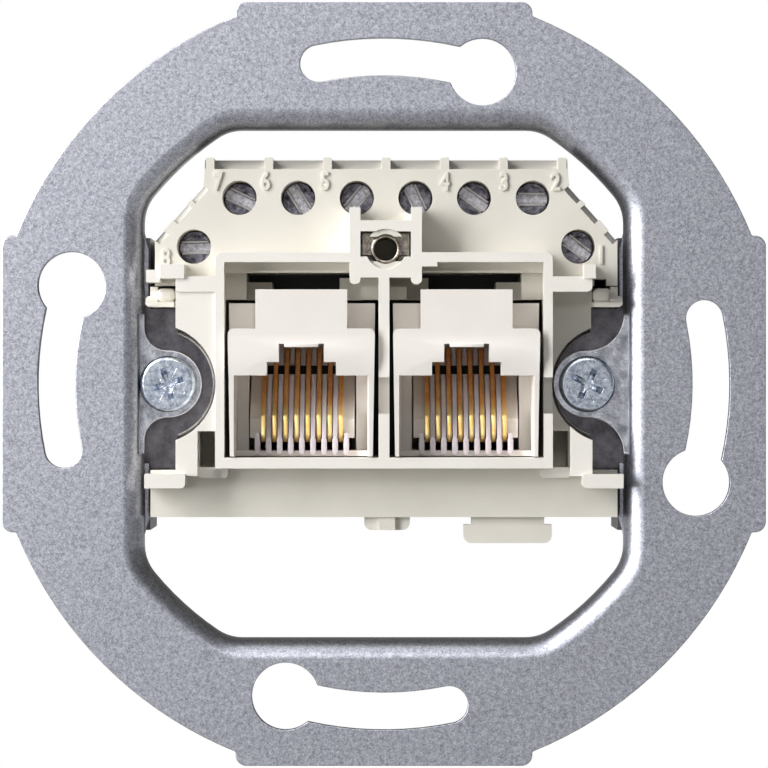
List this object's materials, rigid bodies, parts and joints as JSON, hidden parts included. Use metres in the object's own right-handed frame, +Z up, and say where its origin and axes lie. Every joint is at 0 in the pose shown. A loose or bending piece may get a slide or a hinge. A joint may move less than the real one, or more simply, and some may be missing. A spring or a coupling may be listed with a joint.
{
  "type": "ethernet socket insert",
  "caption": "Flush-mounted data socket insert: moulded body with plug jacks and screw terminals, screwed to a pressed steel support ring with keyhole slots.",
  "frame": {"origin": "on the support ring's axis, at the ring's rear face, which lies on the wall", "axes": "-Y is the front, +Y goes into the wall, +Z is up, +X is to the right seen from the front"},
  "size_m": [0.07, 0.023, 0.07],
  "materials": {
    "galvanised_sheet": "hot-dip zinc with fine spangle",
    "front_plastic": "moulded ABS, satin",
    "cover_plastic": "moulded ABS, satin",
    "plate_steel": "darkened steel",
    "screw_zinc": "bright zinc plate",
    "terminal_steel": "plated steel",
    "contact_gold": "gold plate",
    "comb_plastic": "moulded, translucent grey pink",
    "board_laminate": "lacquered laminate",
    "sleeve_nickel": "nickelled brass"
  },
  "bodies": {
    "root": {"base_housing": "cover_plastic", "centre_sleeve": "sleeve_nickel", "circuit_board": "board_laminate", "clamp_plate_left": "plate_steel", "clamp_plate_right": "plate_steel", "contact_comb_left": "comb_plastic", "contact_comb_right": "comb_plastic", "contact_left_1": "contact_gold", "contact_left_2": "contact_gold", "contact_left_3": "contact_gold", "contact_left_4": "contact_gold", "contact_left_5": "contact_gold", "contact_left_6": "contact_gold", "contact_left_7": "contact_gold", "contact_left_8": "contact_gold", "contact_right_1": "contact_gold", "contact_right_2": "contact_gold", "contact_right_3": "contact_gold", "contact_right_4": "contact_gold", "contact_right_5": "contact_gold", "contact_right_6": "contact_gold", "contact_right_7": "contact_gold", "contact_right_8": "contact_gold", "fixing_screws": "screw_zinc", "jack_frame": "front_plastic", "jack_shell_left": "front_plastic", "jack_shell_right": "front_plastic", "rear_cover": "cover_plastic", "support_ring": "galvanised_sheet", "terminal_clamp_1": "terminal_steel", "terminal_clamp_2": "terminal_steel", "terminal_clamp_3": "terminal_steel", "terminal_clamp_4": "terminal_steel", "terminal_clamp_5": "terminal_steel", "terminal_clamp_6": "terminal_steel", "terminal_clamp_7": "terminal_steel", "terminal_clamp_8": "terminal_steel", "terminal_cover": "cover_plastic", "terminal_screws": "terminal_steel"}
  },
  "joints": []
}
